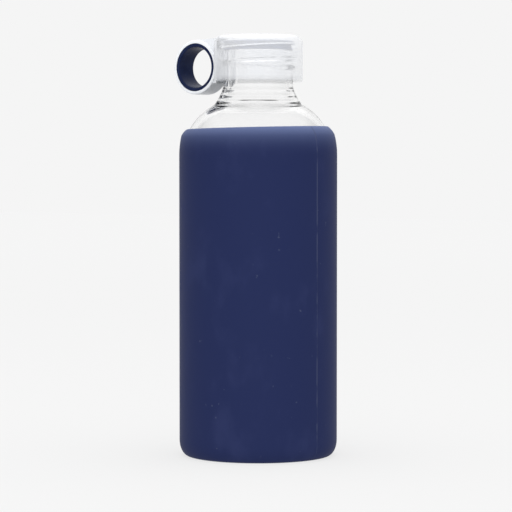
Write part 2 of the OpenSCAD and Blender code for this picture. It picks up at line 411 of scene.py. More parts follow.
def bump(tree, shader, height, strength, distance):
    """Dents the shading by a height pattern, whose full height is the distance in metres."""
    node = tree.nodes.new("ShaderNodeBump")
    node.inputs["Strength"].default_value = strength
    node.inputs["Distance"].default_value = distance
    tree.links.new(height, node.inputs["Height"])
    tree.links.new(node.outputs["Normal"], shader.inputs["Normal"])


# %% [markdown]
# ## The glass bottle
#
# The bottle was blown into a mould, so its outside is crisp and its inside follows with rounder
# turns. The outline runs once round the wall: from the hollow under the foot up the outside, over
# the rim, down the inside and along the floor. Most of it hides in the sleeve, but glass shows
# what lies behind it, so the hidden stretch is made with the same care.
#
# The neck's outline has many more points than the rest, because the thread tree pushes them out.
# Inside the neck runs a low wave. A blower's mould shapes only the outside, so the inside of a
# neck is never smooth, and those waves break the dark streaks in its glass into many fine ones.

# %% Sizes of the glass, in millimetres
glass_low, glass_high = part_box("glass_bottle")
FOOT = glass_low.z / MM
RIM = glass_high.z / MM
GLASS_R = glass_high.x / MM
WALL = 2.4
FLOOR_WALL = 5.0
FLOOR = FOOT + FLOOR_WALL
FLOOR_RISE = 1.0
PUNT_SHARE = 0.68
PUNT_R = PUNT_SHARE * GLASS_R
PUNT_H = 1.6
FOOT_CORNER = (3.0, 6.0)
FLOOR_CORNER = 5.0
BODY_H = 139.0
SHOULDER = FOOT + BODY_H
SHOULDER_SIZE = (25.7, 26.4)
SHOULDER_R = GLASS_R - SHOULDER_SIZE[0]
SHOULDER_END = 64.0
NECK_R = 16.2
NECK_H = 15.7
NECK = RIM - NECK_H
MOUTH_R = 13.2
RIM_ROUND = 1.2
print("glass", round(2 * GLASS_R, 2), "mm across and", round(RIM - FOOT, 2), "mm tall")

# %% Flare and thread of the neck
FLARE_H = 9.8
FLARE_POWER = 1.65
NECK_WALL = (2.5, 1.2)
INNER_BEND = (2.0, 3.0, 6.0)
WAVE = 0.115
WAVE_LENGTH = 3.0
LEAD = 4.0
NECK_TURNS = 1.25
THREAD_DEPTH = 1.4
THREAD_DROP = 3.4
THREAD_START = RIM - THREAD_DROP - NECK_TURNS * LEAD
THREAD_STEP = 0.22
PLAIN_STEP = 4.0


def flare(reach, steps=28):
    """The hollow curve between shoulder and neck, from the neck downwards."""
    shares = [i / steps for i in range(steps + 1)]
    return [(NECK_R + reach * share ** FLARE_POWER, NECK - FLARE_H * share) for share in shares]


def shoulder(wall, start, end, steps=40):
    """The shoulder's arc, moved inwards by a wall."""
    width, height = SHOULDER_SIZE
    return arc(SHOULDER_R, SHOULDER, width - wall, height - wall, start, end, steps)


def inner_neck(outer_flare):
    """The inside of the neck: the outer curve moved inwards, with small waves."""
    wall, drop = NECK_WALL
    curve = []
    for r, z in outer_flare:
        wave = WAVE * math.sin(math.tau * (z - NECK) / WAVE_LENGTH)
        curve.append((r - wall - wave, z - drop))
    leave, turn, straight = INNER_BEND
    start, near_start = (MOUTH_R, NECK + straight), (MOUTH_R, NECK + turn)
    return bend(start, near_start, (NECK_R - wall, NECK + leave), curve[0], 6) + curve[1:]


# %% Outline of the glass
def glass_outline(punt_steps=24):
    """Once round the glass's wall: under the foot, up outside, over the rim and down inside."""
    shares = [i / punt_steps for i in range(punt_steps + 1)]
    punt = [(PUNT_R * share, FOOT + PUNT_H * (1 - share ** 2)) for share in shares]
    foot = arc(GLASS_R - FOOT_CORNER[0], FOOT + FOOT_CORNER[1], *FOOT_CORNER, -90, 0)
    outside = refine(foot + shoulder(0, 0, SHOULDER_END), PLAIN_STEP)
    corner_r = outside[-1][0]
    neck = refine([(NECK_R, NECK), (NECK_R, RIM - RIM_ROUND)], THREAD_STEP)
    rim = arc(NECK_R - RIM_ROUND, RIM - RIM_ROUND, RIM_ROUND, RIM_ROUND, 0, 90)
    rim += arc(MOUTH_R + RIM_ROUND, RIM - RIM_ROUND, RIM_ROUND, RIM_ROUND, 90, 180)
    outer_flare = flare(corner_r - NECK_R)
    corner = arc(GLASS_R - WALL - FLOOR_CORNER, FLOOR + FLOOR_CORNER,
                 FLOOR_CORNER, FLOOR_CORNER, 0, -90)
    inside = refine(shoulder(WALL, SHOULDER_END, 0) + corner, PLAIN_STEP)
    middle = [(0.0, FLOOR + FLOOR_RISE)]
    outer = punt + outside + outer_flare[-2:0:-1] + neck + rim
    return outer + inner_neck(outer_flare[:-2]) + inside + middle


GLASS_OUTLINE = glass_outline()
print("outline of the glass", len(GLASS_OUTLINE), "points")

# %% [markdown]
# Clear glass needs almost nothing but its bend of light. What makes it look like a real bottle
# is a wall that is never quite even, so one slow noise, drawn out along the height, dents the
# shading a little where the glass sagged in its mould.

# %% Clear glass
def clear_glass():
    """Clear glass with a slightly uneven wall."""
    material, tree, shader, place = new_finish("clear_glass")
    shader.inputs["Base Color"].default_value = (1.0, 1.0, 1.0, 1)
    shader.inputs["Transmission Weight"].default_value = 1.0
    shader.inputs["Roughness"].default_value = 0.0
    shader.inputs["IOR"].default_value = 1.45
    waves = noise(tree, place, scale=90, detail=1.0, stretch=(1, 1, 0.35))
    bump(tree, shader, waves, strength=0.35, distance=0.12 * MM)
    return material


CLEAR_GLASS = clear_glass()
print(CLEAR_GLASS.name, len(CLEAR_GLASS.node_tree.nodes), "nodes")

# %% The glass, turned and threaded
glass = turned("glass_bottle", GLASS_OUTLINE, CLEAR_GLASS, steps=256)
threaded(glass, CLEAR_GLASS, **{
    "Wall radius": NECK_R * MM, "Depth": THREAD_DEPTH * MM, "Lead": LEAD * MM,
    "Turns": NECK_TURNS, "Start height": THREAD_START * MM})
face_outwards(glass)
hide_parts("glass_bottle")
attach(glass, "bottle")

# %% [markdown]
# ## The silicone sleeve
#
# The sleeve is one moulded skin, so it is turned too. It follows the glass, stands a little off
# it where it bends over the shoulder, and thins out to its lip. Two things keep it from looking
# like a pipe. Its lip doesn't lie level, because a hand pulled it up, and its mould left a fine
# raised line up two opposite sides. Both are made by moving the mesh's corners by a formula.

# %% Sizes of the sleeve, in millimetres
sleeve_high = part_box("silicone_sleeve")[1]
SLEEVE_R = sleeve_high.x / MM
LIP = sleeve_high.z / MM
SLEEVE_FIT = 0.1
SLEEVE_GROWTH = SLEEVE_R - GLASS_R
SLEEVE_CORNER = (4.3, 7.5)
SKIN_RISE = 34.0
SKIN_END = 15.7
LIP_R = 32.8
LIP_PULLS = ((-0.25, 1.0), (1.0, -0.1))
SKIN_STEP = 3.0
INNER_STEP = 6.0
print("sleeve", round(2 * SLEEVE_R, 2), "mm across and", round(LIP, 2), "mm tall")


# %% Outline of the sleeve
def sleeve_outline():
    """Once round the sleeve's wall: along the base, up the skin, over the lip and down inside."""
    width, height = SHOULDER_SIZE
    bottom = refine([(0, 0), (SLEEVE_R - SLEEVE_CORNER[0], 0)], PLAIN_STEP)
    corner = arc(SLEEVE_R - SLEEVE_CORNER[0], SLEEVE_CORNER[1], *SLEEVE_CORNER, -90, 0, 20)
    skin = arc(SHOULDER_R, SHOULDER, width + SLEEVE_GROWTH, SKIN_RISE, 0, SKIN_END, 20)
    start, end = skin[-1], (LIP_R, LIP)
    near_start, near_end = np.add((start, end), LIP_PULLS).tolist()
    lip = bend(start, near_start, near_end, end)
    fitted = (width + SLEEVE_FIT, height + SLEEVE_FIT)
    inner_end = math.degrees(math.asin((LIP - SHOULDER) / fitted[1]))
    inner = arc(SHOULDER_R, SHOULDER, *fitted, inner_end, 0, 20)
    inner_corner = arc(GLASS_R - FOOT_CORNER[0], FOOT + FOOT_CORNER[1],
                       FOOT_CORNER[0] + SLEEVE_FIT, FOOT_CORNER[1], 0, -90)
    outside = bottom + refine(corner + skin, SKIN_STEP) + lip
    return outside + refine(inner + inner_corner, INNER_STEP) + [(0, FOOT)]


SLEEVE_OUTLINE = sleeve_outline()
print("outline of the sleeve", len(SLEEVE_OUTLINE), "points")


# %% Lip and mould lines
LIP_TILT = 0.7
MOULD_LINE_ANGLE = math.radians(-5.7)
MOULD_LINE_HEIGHT = 0.10
MOULD_LINE_WIDTH = 0.30
MOULD_LINE_CROWDING = 0.47


def corners_of(piece):
    """The mesh's corners as an array, in millimetres."""
    places = np.empty(len(piece.data.vertices) * 3, dtype=np.float32)
    piece.data.vertices.foreach_get("co", places)
    return places.reshape(-1, 3) / MM


def move_corners(piece, places):
    """Puts the mesh's corners at the given places, in millimetres."""
    piece.data.vertices.foreach_set("co", (places * MM).astype(np.float32).ravel())
    piece.data.update()


def shoulder_radius(heights):
    """The glass's radius at some heights on its shoulder."""
    width, height = SHOULDER_SIZE
    return SHOULDER_R + width * np.sqrt(1 - ((heights - SHOULDER).clip(0) / height) ** 2)


def widened(places, growth):
    """Moves places away from the axis, each by its own growth."""
    x, y, z = places.T
    radius = np.hypot(x, y)
    scale = (radius + growth) / np.maximum(radius, 1e-6)
    return np.stack([x * scale, y * scale, z], axis=1)


def tilt_lip(places):
    """Slides the top of the sleeve up the shoulder on one side and down on the other."""
    x, y, z = places.T
    share = np.clip((z - SHOULDER) / (LIP - SHOULDER), 0, 1)
    new_z = z + LIP_TILT * share ** 2 * np.cos(np.arctan2(y, x) - VIEW_TURN)
    growth = np.where(share > 0, shoulder_radius(new_z) - shoulder_radius(z), 0)
    return widened(np.stack([x, y, new_z], axis=1), growth)


def raise_mould_lines(places):
    """Lifts a fine line on two opposite sides of the outer skin, up to the lip."""
    x, y, z = places.T
    radius, angle = np.hypot(x, y), np.arctan2(y, x)
    away = radius * np.sin(angle - MOULD_LINE_ANGLE)
    outer = radius > SLEEVE_R - SLEEVE_GROWTH / 2
    return widened(places, MOULD_LINE_HEIGHT * np.exp(-((away / MOULD_LINE_WIDTH) ** 2)) * outer)


# %% [markdown]
# Matt silicone scatters light softly and shines very little, so its index of refraction is set
# near to one: only a narrow rim catches light. Its colour is painted paler towards the lip, a
# painted highlight for the overhead light on the shoulder. Fine noise gives the moulded grain,
# slow noise gives hand marks, dust sits in a few specks, and a painted highlight runs along the
# mould's line, which would hardly show otherwise.

# %% Dust and painted seam highlight on the silicone
# Width of the painted highlight along the mould's seam: full up to the first distance, none beyond
# the second.
SEAM_HIGHLIGHT_REACH = (0.12, 0.40)


def dust_and_seam_highlight(tree, place):
    """How pale a point is painted: dust in a few specks, and a painted highlight in a broken line
    along the mould's seam.
    """
    grains = noise(tree, place, scale=420, detail=1.0)
    specks = remap(tree, grains, low=0.735, high=0.80, to_high=0.8)
    patches = remap(tree, noise(tree, place, scale=60, detail=1.0), low=0.45, high=0.65)
    # A painted highlight along the mould's seam, broken by noise, which stands in for the light the
    # raised line catches.
    seam = tree.nodes.new("ShaderNodeVectorMath")
    seam.operation = "DOT_PRODUCT"
    tree.links.new(place, seam.inputs[0])
    seam.inputs[1].default_value = (-math.sin(MOULD_LINE_ANGLE), math.cos(MOULD_LINE_ANGLE), 0)
    away = math_node(tree, "ABSOLUTE", seam.outputs["Value"])
    full, none = SEAM_HIGHLIGHT_REACH
    on_seam = remap(tree, away, low=full * MM, high=none * MM, to_low=1.0, to_high=0.0)
    breaks = noise(tree, place, scale=130, detail=2.0)
    broken = remap(tree, breaks, low=0.40, high=0.60, to_low=0.1, to_high=0.75)
    return math_node(tree, "MAXIMUM", math_node(tree, "MULTIPLY", specks, patches),
                     math_node(tree, "MULTIPLY", on_seam, broken))


# %% Navy silicone
NAVY = (0.0160, 0.0232, 0.0775, 1)
SMUDGED_NAVY = (0.0215, 0.0295, 0.0900, 1)
PAINTED_LIGHT_NAVY = (0.110, 0.142, 0.273, 1)
DUST_AND_HIGHLIGHT_GREY = (0.060, 0.072, 0.130, 1)
# Painted highlight: from this height up to the lip the navy is painted paler, in place of overhead
# light.
PAINTED_LIGHT_LOW = 138.0
PAINTED_LIGHT_POWER = 3.3


def navy_silicone():
    """Matt silicone with smudges, dust and a fine grain, and painted highlights towards the lip and
    along the mould's seam.
    """
    material, tree, shader, place = new_finish("navy_silicone")
    hand_marks = noise(tree, place, scale=75, detail=4.0, stretch=(1, 1, 0.6))
    smudges = remap(tree, hand_marks, low=0.50, high=0.75)
    colour = mix_colours(tree, smudges, NAVY, SMUDGED_NAVY)
    height = tree.nodes.new("ShaderNodeSeparateXYZ")
    tree.links.new(place, height.inputs[0])
    # Painted highlight: the colour turns paler towards the lip, standing in for the light from
    # overhead.
    painted_light = remap(tree, height.outputs["Z"], PAINTED_LIGHT_LOW * MM, LIP * MM, smooth=False)
    painted_light = math_node(tree, "POWER", painted_light, PAINTED_LIGHT_POWER)
    colour = mix_colours(tree, painted_light, colour, PAINTED_LIGHT_NAVY)
    colour = mix_colours(tree, dust_and_seam_highlight(tree, place), colour, DUST_AND_HIGHLIGHT_GREY)
    tree.links.new(colour, shader.inputs["Base Color"])
    roughness = remap(tree, smudges, low=0.0, high=1.0, to_low=0.52, to_high=0.62)
    tree.links.new(roughness, shader.inputs["Roughness"])
    shader.inputs["IOR"].default_value = 1.12
    grain = noise(tree, place, scale=2600, detail=2.0)
    bump(tree, shader, grain, strength=0.25, distance=0.03 * MM)
    return material


NAVY_SILICONE = navy_silicone()
print(NAVY_SILICONE.name, len(NAVY_SILICONE.node_tree.nodes), "nodes")

# %% The sleeve, turned, tilted and marked
sleeve = turned("silicone_sleeve", SLEEVE_OUTLINE, NAVY_SILICONE, steps=320,
                crowding=MOULD_LINE_CROWDING, crowded_angle=MOULD_LINE_ANGLE)
move_corners(sleeve, raise_mould_lines(tilt_lip(corners_of(sleeve))))
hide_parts("silicone_sleeve")
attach(sleeve, "bottle")

# %% [markdown]
# ## The seal under the cap
#
# A ring of the same silicone lies between the rim and the cap's top. A groove round it holds it
# on a bead in the cap. It shows through the cloudy plastic as two dark bands with a light line
# between them. That line, the bead, isn't quite level, so the groove is tall enough to leave it
# free at every turn of the cap.

# %% Outline of the seal, in millimetres
seal_low, seal_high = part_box("cap_seal")
SEAL_R = seal_high.x / MM
SEAL_WIDTH = 4.0
SEAL_LOW, SEAL_HIGH = seal_low.z / MM, seal_high.z / MM
SEAL_EDGE = 0.3
GROOVE = 0.7
BEAD_H = 0.6
BEAD_FIT = 0.2
BEAD_Z = (SEAL_LOW + SEAL_HIGH) / 2
BEAD_TILT = 0.95


def seal_outline():
    """Once round the seal's section: the lower face, the groove, the upper face and the hole."""
    inner, half = SEAL_R - SEAL_WIDTH, BEAD_H / 2 + BEAD_FIT + BEAD_TILT
    low = [(inner, SEAL_LOW), (SEAL_R - SEAL_EDGE, SEAL_LOW), (SEAL_R, SEAL_LOW + SEAL_EDGE)]
    groove = [(SEAL_R, BEAD_Z - half), (SEAL_R - GROOVE, BEAD_Z - half),
              (SEAL_R - GROOVE, BEAD_Z + half), (SEAL_R, BEAD_Z + half)]
    return low + groove + [(SEAL_R, SEAL_HIGH), (inner, SEAL_HIGH), (inner, SEAL_LOW)]


SEAL_OUTLINE = seal_outline()
print("outline of the seal", len(SEAL_OUTLINE), "points")

# %% [markdown]
# The seal is clean silicone, without the sleeve's dust and painted highlights, so its finish is
# only a little uneven. Its navy was made lighter than the sleeve's, until the two bands that show
# through the cap came out as in the photograph.

# %% Seal silicone
SEAL_NAVY = (0.045, 0.062, 0.170, 1)
PALE_SEAL_NAVY = (0.060, 0.080, 0.200, 1)


def seal_silicone():
    """Clean silicone of a lighter navy."""
    material, tree, shader, place = new_finish("seal_silicone")
    shade = remap(tree, noise(tree, place, scale=300, detail=2.0), low=0.3, high=0.7)
    colour = mix_colours(tree, shade, SEAL_NAVY, PALE_SEAL_NAVY)
    tree.links.new(colour, shader.inputs["Base Color"])
    shader.inputs["Roughness"].default_value = 0.45
    shader.inputs["IOR"].default_value = 1.41
    bump(tree, shader, noise(tree, place, scale=2600), strength=0.2, distance=0.02 * MM)
    return material


SEAL_SILICONE = seal_silicone()
print(SEAL_SILICONE.name, len(SEAL_SILICONE.node_tree.nodes), "nodes")

# %% The seal, turned
seal = turned("cap_seal", SEAL_OUTLINE, SEAL_SILICONE)
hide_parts("cap_seal")
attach(seal, "seal")

# %% [markdown]
# ## The screw cap and its loop
#
# Cap, loop and the web between them came out of one mould, so they have to be one closed skin,
# with no walls left inside: light that crosses cloudy plastic would show them. The cap's shell and
# the loop are turned on the lathe, the web is a plate, and a boolean welds the three. The web
# grows wider where it meets the cap, as a moulder rounds such a corner.

# %% Sizes of the cap, in millimetres
cap_low, cap_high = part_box("screw_cap")
ring_low, ring_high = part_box("loop_ring")
CAP_R = cap_high.y / MM
CAP_TOP = cap_high.z / MM
CAP_H = 22.0
SKIRT = CAP_TOP - CAP_H
CAP_ROUND = 4.0
SKIRT_ROUND = 1.2
THREAD_GAP = 0.4
CAP_TURNS = 1.4
BORE_R = NECK_R + THREAD_DEPTH + THREAD_GAP
CEILING = SEAL_HIGH
SEAL_FIT = 0.2
RIB = 0.9
PLUG_H = 5.0
OUTER_RIB_R = SEAL_R + SEAL_FIT
INNER_RIB_R = SEAL_R - SEAL_WIDTH - SEAL_FIT
BEAD_R = SEAL_R - GROOVE + BEAD_FIT
BEAD_EDGE = 0.12
SHELL_STEP = 2.0
print("cap", round(2 * CAP_R, 2), "mm across, its skirt ends at", round(SKIRT, 2), "mm")

# %% Sizes of the loop and its web
LOOP_X = -(ring_low.x + ring_high.x) / 2 / MM
LOOP_Z = (ring_low.z + ring_high.z) / 2 / MM
LOOP_R = -cap_low.x / MM - LOOP_X
LOOP_WIDTH = 2 * ring_high.y / MM
LOOP_ROUND = 0.7
LOOP_WALL = 1.5
SEAT_R = LOOP_R - LOOP_WALL
SNAP = 0.4
SNAP_WIDTH = 3.0
WEB_H = 20.6
WEB_REACH = 60.0
WEB_FILLET = 2.2
FILLET_STEP = 15
WELD = 0.9
print("loop", round(2 * LOOP_R, 2), "mm across and", round(LOOP_WIDTH, 2), "mm wide")


# %% Outline of the cap
def cap_outline():
    """Once round the cap's wall: skirt, shell, top, the two ribs under it, and the bore."""
    skirt = arc(CAP_R - SKIRT_ROUND, SKIRT + SKIRT_ROUND, SKIRT_ROUND, SKIRT_ROUND, -90, 0, 6)
    shell = arc(CAP_R - CAP_ROUND, CAP_TOP - CAP_ROUND, CAP_ROUND, CAP_ROUND, 0, 90, 16)
    outside = refine(skirt + shell + [(0, CAP_TOP)], SHELL_STEP)
    inner_rib = [(INNER_RIB_R - RIB, CEILING), (INNER_RIB_R - RIB, CEILING - PLUG_H),
                 (INNER_RIB_R, CEILING - PLUG_H), (INNER_RIB_R, CEILING)]
    low, high = BEAD_Z - BEAD_H / 2, BEAD_Z + BEAD_H / 2
    bead = [(OUTER_RIB_R, high + BEAD_EDGE), (OUTER_RIB_R, high), (BEAD_R, BEAD_Z + BEAD_H / 3),
            (BEAD_R, BEAD_Z - BEAD_H / 3), (OUTER_RIB_R, low), (OUTER_RIB_R + RIB, low),
            (OUTER_RIB_R + RIB, high), (OUTER_RIB_R + RIB, high + BEAD_EDGE)]
    outer_rib = [(OUTER_RIB_R, CEILING)] + bead + [(OUTER_RIB_R + RIB, CEILING)]
    wall = refine([(BORE_R, CEILING), (BORE_R, SKIRT + SKIRT_ROUND)], THREAD_STEP)
    inside = [(0, CEILING)] + inner_rib + outer_rib + wall
    return outside + inside + [(BORE_R + SKIRT_ROUND / 2, SKIRT), skirt[0]]


def tilt_bead(places):
    """Tilts the rows of the bead, and leaves the faces above and below it level."""
    x, y, z = places.T
    angle = np.arctan2(y, x)
    radius = np.hypot(x, y)
    near = np.abs(z - BEAD_Z) < BEAD_H
    near &= (radius > BEAD_R - BEAD_FIT) & (radius < OUTER_RIB_R + RIB + BEAD_FIT)
    return places + np.outer(BEAD_TILT * np.cos(angle - VIEW_TURN) * near, (0, 0, 1))


CAP_OUTLINE = cap_outline()
print("outline of the cap", len(CAP_OUTLINE), "points")


# %% Outlines of the loop and the web
def loop_outline():
    """Once round the loop's wall, with the groove of its seat."""
    half, edge = LOOP_WIDTH / 2, LOOP_ROUND
    seat = [(SEAT_R, half), (SEAT_R, SNAP_WIDTH / 2), (SEAT_R + SNAP, SNAP_WIDTH / 2),
            (SEAT_R + SNAP, -SNAP_WIDTH / 2), (SEAT_R, -SNAP_WIDTH / 2), (SEAT_R, -half)]
    outside = arc(LOOP_R - edge, edge - half, edge, edge, -90, 0, 6)
    outside += arc(LOOP_R - edge, half - edge, edge, edge, 0, 90, 6)
    return refine(seat + outside + seat[:1], SHELL_STEP)


def web_outline():
    """The side of the web: round the loop's wall, and straight to the cap's rounded top edge."""
    reach = math.radians(WEB_REACH)
    end_x = -CAP_R + CAP_ROUND * (1 - math.cos(reach))
    end_z = CAP_TOP - CAP_ROUND * (1 - math.sin(reach))
    run, climb = end_x + LOOP_X, end_z - LOOP_Z
    slope = math.atan2(climb, run) - math.asin(LOOP_R / math.hypot(run, climb))
    low = LOOP_R - WEB_H
    inside = (SEAT_R + SNAP + LOOP_R) / 2
    top = 90 + math.degrees(slope)
    around = arc(-LOOP_X, LOOP_Z, inside, inside, math.degrees(math.asin(low / inside)), top, 24)
    leave = arc(-LOOP_X, LOOP_Z, LOOP_R, LOOP_R, top, top, 1)[:1]
    weld_x = -CAP_R + WELD
    return around + leave + [
        (end_x, end_z), (weld_x, CAP_TOP - CAP_ROUND), (weld_x, LOOP_Z + low)]


def across(piece):
    """Lays a turned piece along Y, round the loop's centre."""
    turn = Matrix.Rotation(math.radians(90), 4, "X")
    piece.data.transform(Matrix.Translation((-LOOP_X * MM, 0, LOOP_Z * MM)) @ turn)
    return piece


LOOP_OUTLINE, WEB_OUTLINE = loop_outline(), web_outline()
print("outlines of loop and web", len(LOOP_OUTLINE), "and", len(WEB_OUTLINE), "points")


# %% The web, and the weld
def web_plate(material):
    """The web as a plate with rounded edges, which grows wider as it comes near the cap."""
    half = LOOP_WIDTH / 2 - LOOP_ROUND
    work = bmesh.new()
    corners = [work.verts.new((x * MM, -half * MM, z * MM)) for x, z in WEB_OUTLINE]
    face = work.faces.new(corners)
    push = bmesh.ops.extrude_face_region(work, geom=[face])["geom"]
    moved = [v for v in push if isinstance(v, bmesh.types.BMVert)]
    bmesh.ops.translate(work, verts=moved, vec=(0, 2 * half * MM, 0))
    bmesh.ops.recalc_face_normals(work, faces=work.faces)
    for turn in range(0, 91, FILLET_STEP):
        cut = -(CAP_R + WEB_FILLET * (1 - math.sin(math.radians(turn))) - WELD) * MM
        parts = work.verts[:] + work.edges[:] + work.faces[:]
        bmesh.ops.bisect_plane(work, geom=parts, plane_co=(cut, 0, 0), plane_no=(1, 0, 0))
    for corner in work.verts:
        away = -corner.co.x / MM - CAP_R + WELD
        near = min(max(1 - away / WEB_FILLET, 0), 1)
        corner.co.y *= 1 + WEB_FILLET * (1 - math.sqrt(1 - near ** 2)) / half
    mesh = bpy.data.meshes.new("web")
    work.to_mesh(mesh)
    work.free()
    mesh.materials.append(material)
    piece = bpy.data.objects.new("web", mesh)
    bpy.context.scene.collection.objects.link(piece)
    return piece


def weld(piece, *others):
    """Joins closed pieces into one closed skin, and removes the ones that were joined on."""
    for other in others:
        modifier = piece.modifiers.new("weld", "BOOLEAN")
        modifier.operation = "UNION"
        modifier.solver = "MANIFOLD"
        modifier.object = other
    settle(piece)
    for other in others:
        bpy.data.objects.remove(other)
    return piece


# %% [markdown]
# The cap's plastic is milky: its skin scatters a part of the light, and the rest goes through and
# shows the seal, the thread and the glass. Real clouded plastic could be made with transmission
# and scattering inside it, but so many walls behind each other then turn dark, because light gets
# lost between them. Here each wall is a thin veil: its alpha says how much of it one sees. The
# veil is an attribute on the mesh, dense on the loop and on the bead, thin on the polished inside,
# and almost gone at the skirt's edge, where the photograph shows no edge at all.

# %% Milky plastic
WALL_CLOUD = 0.45
LOOP_CLOUD = 1.0
MILK = (0.94, 0.96, 0.995, 1)
PALE_MILK = (0.96, 0.97, 0.99, 1)
THICK_MILK = (0.80, 0.82, 0.85, 1)


def milky_plastic():
    """Cloudy plastic, whose veil is the mesh's attribute, and which is greyer where it is thick."""
    material, tree, shader, place = new_finish("milky_plastic")
    veil = tree.nodes.new("ShaderNodeAttribute")
    veil.attribute_name = "cloudiness"
    tree.links.new(veil.outputs["Fac"], shader.inputs["Alpha"])
    streaks = remap(tree, noise(tree, place, scale=55, detail=2.0), low=0.3, high=0.7)
    colour = mix_colours(tree, streaks, MILK, PALE_MILK)
    thick = remap(tree, veil.outputs["Fac"], low=WALL_CLOUD, high=LOOP_CLOUD)
    colour = mix_colours(tree, thick, colour, THICK_MILK)
    tree.links.new(colour, shader.inputs["Base Color"])
    shader.inputs["Roughness"].default_value = 0.25
    shader.inputs["IOR"].default_value = 1.15
    grain = noise(tree, place, scale=1500, detail=1.0)
    bump(tree, shader, grain, strength=0.12, distance=0.02 * MM)
    return material


MILKY_PLASTIC = milky_plastic()
print(MILKY_PLASTIC.name, len(MILKY_PLASTIC.node_tree.nodes), "nodes")

# %% The veil
ROOT_DEPTH = 0.5
ROOT_FADE = 2.0
CLEAR_SKIRT = 1.6
LEAST_SHARE = 0.04
INSIDE_SHARE = 0.25
INSIDE_REACH = 0.3
BEAD_REACH = 0.02
HAIR = 0.05


def cloudiness(places):
    """How cloudy the plastic is at each corner."""
    x, y, z = places.T
    radius = np.hypot(x, y)
    on_loop = np.clip((ROOT_DEPTH - CAP_R - x) / ROOT_FADE, 0, 1)
    cloud = WALL_CLOUD + (LOOP_CLOUD - WALL_CLOUD) * on_loop
    share = np.clip((z - SKIRT) / CLEAR_SKIRT, LEAST_SHARE, 1)
    cloud *= np.maximum(share, on_loop)
    cloud[(radius < BORE_R + INSIDE_REACH) & (on_loop == 0)] *= INSIDE_SHARE
    level = z - BEAD_TILT * np.cos(np.arctan2(y, x) - VIEW_TURN)
    bead = (np.abs(level - BEAD_Z) < BEAD_H / 2 + BEAD_REACH) & (radius > BEAD_R - HAIR)
    cloud[bead & (radius < OUTER_RIB_R + RIB + HAIR)] = LOOP_CLOUD
    return cloud


# %% The cap, turned, threaded and welded to its loop
cap = turned("screw_cap", CAP_OUTLINE, MILKY_PLASTIC, steps=224)
threaded(cap, MILKY_PLASTIC, **{
    "Wall radius": BORE_R * MM, "Depth": -THREAD_DEPTH * MM, "Lead": LEAD * MM,
    "Turns": CAP_TURNS, "Start height": (THREAD_START - LEAD / 2) * MM})
move_corners(cap, tilt_bead(corners_of(cap)))
loop = across(turned("loop", LOOP_OUTLINE, MILKY_PLASTIC, steps=128))
weld(cap, loop, web_plate(MILKY_PLASTIC))
face_outwards(cap)
veil = cap.data.attributes.new("cloudiness", "FLOAT", "POINT")
veil.data.foreach_set("value", cloudiness(corners_of(cap)))
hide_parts("screw_cap")
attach(cap, "cap")
print("screw_cap", len(cap.data.polygons), "faces after the weld")

# %% [markdown]
# ## The ring in the loop
#
# The ring that lines the loop is a harder plastic than the sleeve, with a satin sheen. Its edges
# are well rounded, because a finger goes through it, a small rib holds it in its seat, and its
# hole is a little narrower at the back, so that it came off the core of its mould.


# %% Outline of the ring, in millimetres
HOLE_R = 9.75
DRAFT = 0.65
RING_EDGE = 0.3
RING_HOLE_EDGE = 0.6
RING_FIT = 0.05


def ring_outline():
    """Once round the ring's section: the hole, the edges, and the rib that snaps into the seat."""
    half, edge, hole_edge, fit = LOOP_WIDTH / 2, RING_EDGE, RING_HOLE_EDGE, RING_FIT
    outer = SEAT_R - fit
    rib = [(outer, -SNAP_WIDTH / 2 + fit), (outer + SNAP, -SNAP_WIDTH / 2 + fit),
           (outer + SNAP, SNAP_WIDTH / 2 - fit), (outer, SNAP_WIDTH / 2 - fit)]
    low = arc(HOLE_R - DRAFT + hole_edge, hole_edge - half, hole_edge, hole_edge, 180, 270, 8)
    low += arc(outer - edge, edge - half, edge, edge, -90, 0, 6)
    high = arc(outer - edge, half - edge, edge, edge, 0, 90, 6)
    high += arc(HOLE_R + hole_edge, half - hole_edge, hole_edge, hole_edge, 90, 180, 8)
    return low + rib + high + low[:1]


RING_OUTLINE = ring_outline()
print("outline of the ring", len(RING_OUTLINE), "points")

# %% [markdown]
# Satin plastic is smoother than silicone, so light from the floor and the tent draws a soft band
# along the inside of the ring. A low roughness does that. It varies a little, because fingers
# polish a ring unevenly, and the index of refraction is kept low, so that the navy stays deep.

# %% Satin navy
DEEP_NAVY = (0.0095, 0.0155, 0.050, 1)
WORN_NAVY = (0.0130, 0.0205, 0.060, 1)


def satin_navy():
    """Satin plastic of a deep navy, polished unevenly."""
    material, tree, shader, place = new_finish("satin_navy")
    shade = remap(tree, noise(tree, place, scale=180, detail=2.0), low=0.35, high=0.7)
    colour = mix_colours(tree, shade, DEEP_NAVY, WORN_NAVY)
    tree.links.new(colour, shader.inputs["Base Color"])
    wear = noise(tree, place, scale=350, detail=3.0)
    roughness = remap(tree, wear, low=0.3, high=0.7, to_low=0.20, to_high=0.28)
    tree.links.new(roughness, shader.inputs["Roughness"])
    shader.inputs["IOR"].default_value = 1.13
    bump(tree, shader, noise(tree, place, scale=900), strength=0.15, distance=0.02 * MM)
    return material


SATIN_NAVY = satin_navy()
print(SATIN_NAVY.name, len(SATIN_NAVY.node_tree.nodes), "nodes")

# %% The ring, turned and laid across
ring = across(turned("loop_ring", RING_OUTLINE, SATIN_NAVY, steps=128))
face_outwards(ring)
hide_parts("loop_ring")
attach(ring, "cap")

# %% [markdown]
# ## Floor and light
#
# The bottle was shot in a white tent, so that its glass is only drawn by a few dark refractions.
# The surround does the same: it is white behind the bottle and behind the camera, darker at both
# sides, where the streaks in the glass come from, and brightest overhead.

# %% Surround
WHITE = 0.913
SIDES = 0.55
CEILING_LIGHT = 1.5
BACKDROP = (0.30, 0.80)
DOME = (0.35, 0.75)


def grey(value):
    """A grey colour, which is brighter than paper where its value is over one."""
    return (value, value, value, 1)


